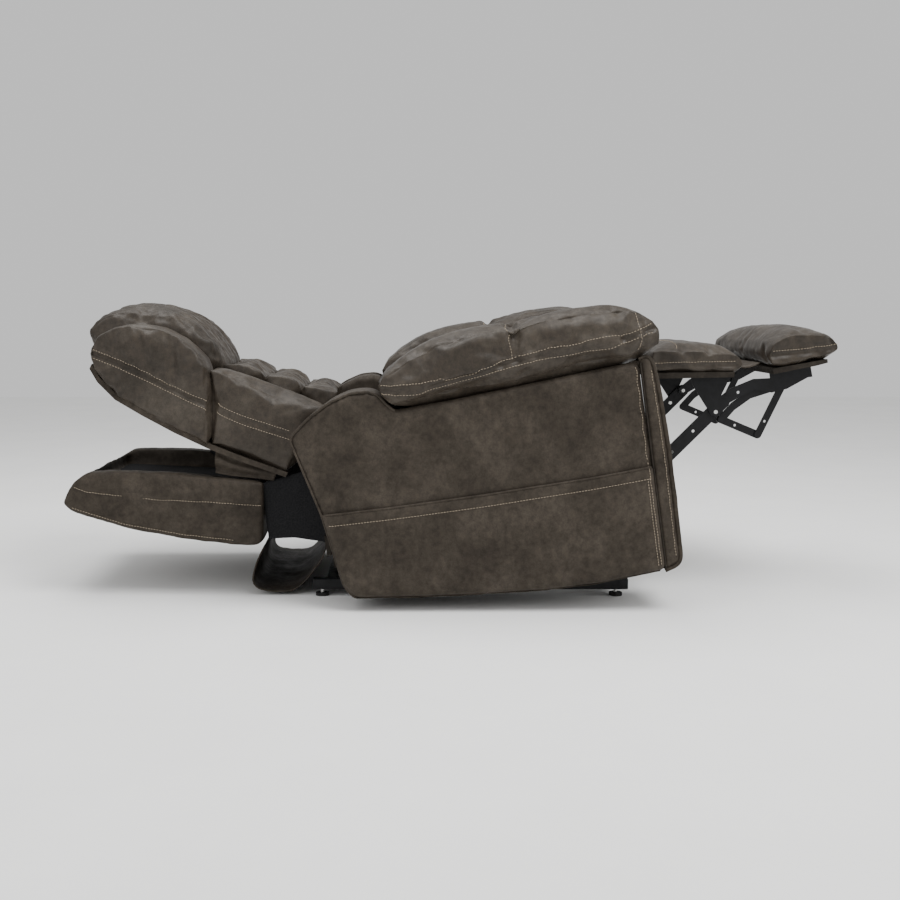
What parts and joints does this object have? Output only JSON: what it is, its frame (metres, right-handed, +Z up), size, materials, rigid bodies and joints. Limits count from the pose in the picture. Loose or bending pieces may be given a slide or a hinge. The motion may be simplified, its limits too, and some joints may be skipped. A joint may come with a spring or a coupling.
{
  "type": "power lift recliner chair",
  "caption": "Leather lift recliner laid back with the footrest out, on a tilting lift base with articulated headrest block.",
  "frame": {"origin": "floor level under the centre of the box at rest", "axes": "front (footrest) is -Y, sitter's left is +X, up is +Z"},
  "size_m": [0.94, 1.9934, 0.7449],
  "materials": {
    "upholstery": "soft mottled",
    "upholstery_pad": "soft mottled",
    "black_steel": "satin black",
    "zinc": "zinc plated",
    "rivet": "bright",
    "board": "raw plywood",
    "plastic": "matte black",
    "rod_steel": "polished",
    "rubber_foot": "matte",
    "lining": "black cloth"
  },
  "bodies": {
    "base": {"base_side_tubes": "black_steel", "base_cross_tubes": "black_steel", "lift_brackets": "black_steel", "levelling_feet": "rubber_foot", "foot_stems": "rivet", "lift_pins": "rivet"},
    "lift_arms": {"lift_arms": "black_steel"},
    "front_links": {"front_lift_links": "black_steel"},
    "lift_motor": {"lift_motor_housing": "plastic"},
    "lift_rod": {"lift_motor_rod": "rod_steel"},
    "chassis": {"chassis_rails": "black_steel", "chassis_cross_tubes": "black_steel", "flap_board": "upholstery", "power_supply": "plastic", "power_inlet": "plastic", "motor_brackets": "black_steel", "arm_side_panel_right": "upholstery", "arm_side_panel_left": "upholstery", "arm_inner_panels": "upholstery", "arm_end_panels": "upholstery", "arm_frames": "board", "arm_pillow_right": "upholstery_pad", "arm_pillow_left": "upholstery_pad", "arm_pockets": "upholstery", "seat_side_plates": "black_steel", "seat_cross_tubes": "black_steel", "seat_springs": "rivet", "seat_cushion": "upholstery_pad", "chassis_pins": "rivet"},
    "rear_rocker": {"rear_rockers": "black_steel"},
    "zinc_rocker": {"zinc_rockers": "zinc"},
    "main_link": {"main_links": "black_steel", "main_link_rivets": "rivet"},
    "leg_rest": {"leg_brackets": "black_steel", "leg_pad_board": "upholstery", "leg_pad": "upholstery_pad"},
    "foot_rest": {"top_bars": "black_steel", "outer_braces": "black_steel", "top_bar_rivets": "rivet", "foot_pad_board": "upholstery", "foot_pad": "upholstery_pad", "pad_web": "upholstery"},
    "footrest_motor": {"foot_motor_housing": "plastic"},
    "footrest_rod": {"foot_motor_rod": "rod_steel"},
    "back": {"back_brackets": "black_steel", "back_torque_tube": "black_steel", "back_shell": "upholstery", "back_panel": "lining", "rear_flap": "upholstery"},
    "head_block": {"headrest_board": "upholstery", "lower_wings": "upholstery_pad", "upper_wings": "upholstery_pad", "head_roll": "upholstery_pad", "lumbar_rolls": "upholstery_pad", "neck_lugs": "black_steel", "side_gussets": "upholstery"},
    "headrest_motor": {"head_motor_housing": "plastic"},
    "headrest_rod": {"head_motor_rod": "rod_steel"},
    "recline_motor": {"recline_motor_housing": "plastic"},
    "recline_rod": {"recline_motor_rod": "rod_steel"}
  },
  "joints": [
    {"name": "lift", "type": "hinge", "parent": "base", "child": "lift_arms", "pos_m": [0, -0.37932, 0.08], "axis": [1, 0, 0], "range_deg": [0, 44]},
    {"name": "chassis_tip", "type": "hinge", "parent": "lift_arms", "child": "chassis", "pos_m": [0, 0.12069, 0.11], "axis": [1, 0, 0], "range_deg": [-11.8, 1]},
    {"name": "front_link_swing", "type": "hinge", "parent": "base", "child": "front_links", "pos_m": [0, -0.43932, 0.087], "axis": [1, 0, 0], "range_deg": [-1, 59.56]},
    {"name": "lift_motor_swing", "type": "hinge", "parent": "base", "child": "lift_motor", "pos_m": [0, 0.27069, 0.076], "axis": [1, 0, 0], "range_deg": [-15.38, 1]},
    {"name": "lift_motor_stroke", "type": "slide", "parent": "lift_motor", "child": "lift_rod", "axis": [0, -0.9994, 0.0355], "range_m": [-0.002, 0.088]},
    {"name": "recline", "type": "hinge", "parent": "chassis", "child": "back", "pos_m": [0, 0.27609, 0.2634], "axis": [1, 0, 0], "range_deg": [0, 55], "deforming": ["rear_flap"]},
    {"name": "recline_motor_swing", "type": "hinge", "parent": "chassis", "child": "recline_motor", "pos_m": [0, -0.32932, 0.19], "axis": [1, 0, 0], "range_deg": [-1, 5.26]},
    {"name": "recline_motor_stroke", "type": "slide", "parent": "recline_motor", "child": "recline_rod", "axis": [0, 0.9994, -0.0351], "range_m": [-0.002, 0.0757]},
    {"name": "headrest", "type": "hinge", "parent": "back", "child": "head_block", "pos_m": [0, 0.43268, 0.3], "axis": [1, 0, 0], "range_deg": [-14, 0], "deforming": ["side_gussets"]},
    {"name": "headrest_motor_swing", "type": "hinge", "parent": "back", "child": "headrest_motor", "pos_m": [0, 0.56068, 0.288], "axis": [1, 0, 0], "range_deg": [-21.76, 1]},
    {"name": "headrest_motor_stroke", "type": "slide", "parent": "headrest_motor", "child": "headrest_rod", "axis": [0, 0.802, 0.5973], "range_m": [-0.0185, 0.002]},
    {"name": "footrest", "type": "hinge", "parent": "chassis", "child": "rear_rocker", "pos_m": [0, -0.38439, 0.30262], "axis": [1, 0, 0], "range_deg": [0, 83]},
    {"name": "zinc_rocker_swing", "type": "hinge", "parent": "chassis", "child": "zinc_rocker", "pos_m": [0, -0.43893, 0.4205], "axis": [1, 0, 0], "range_deg": [-1, 88.09]},
    {"name": "main_link_fold", "type": "hinge", "parent": "rear_rocker", "child": "main_link", "pos_m": [0, -0.51118, 0.29704], "axis": [1, 0, 0], "range_deg": [-129, 1]},
    {"name": "leg_pad_fold", "type": "hinge", "parent": "main_link", "child": "leg_rest", "pos_m": [0, -0.69085, 0.47347], "axis": [1, 0, 0], "range_deg": [-1, 129]},
    {"name": "foot_pad_fold", "type": "hinge", "parent": "main_link", "child": "foot_rest", "pos_m": [0, -0.71128, 0.49996], "axis": [1, 0, 0], "range_deg": [-1, 134.3], "deforming": ["pad_web"]},
    {"name": "footrest_motor_swing", "type": "hinge", "parent": "chassis", "child": "footrest_motor", "pos_m": [0, 0.16212, 0.17375], "axis": [1, 0, 0], "range_deg": [-1, 7.75]},
    {"name": "footrest_motor_stroke", "type": "slide", "parent": "footrest_motor", "child": "footrest_rod", "axis": [0, -0.9439, 0.3304], "range_m": [-0.002, 0.0457]}
  ],
  "couplings": [
    {"joint": "chassis_tip", "follows": "lift", "ratio": -0.24546},
    {"joint": "front_link_swing", "follows": "lift", "ratio": 1.331},
    {"joint": "lift_motor_swing", "follows": "lift", "ratio": -0.32679},
    {"joint": "lift_motor_stroke", "follows": "lift", "m_per_rad": 0.11205},
    {"joint": "recline_motor_swing", "follows": "recline", "ratio": 0.077508},
    {"joint": "recline_motor_stroke", "follows": "recline", "m_per_rad": 0.076786},
    {"joint": "headrest_motor_swing", "follows": "headrest", "ratio": 1.483},
    {"joint": "headrest_motor_stroke", "follows": "headrest", "m_per_rad": 0.067408},
    {"joint": "zinc_rocker_swing", "follows": "footrest", "ratio": 1.0493},
    {"joint": "main_link_fold", "follows": "footrest", "ratio": -1.5422},
    {"joint": "leg_pad_fold", "follows": "footrest", "ratio": 1.5422},
    {"joint": "foot_pad_fold", "follows": "footrest", "ratio": 1.606},
    {"joint": "footrest_motor_swing", "follows": "footrest", "ratio": 0.081315},
    {"joint": "footrest_motor_stroke", "follows": "footrest", "m_per_rad": 0.030175}
  ]
}
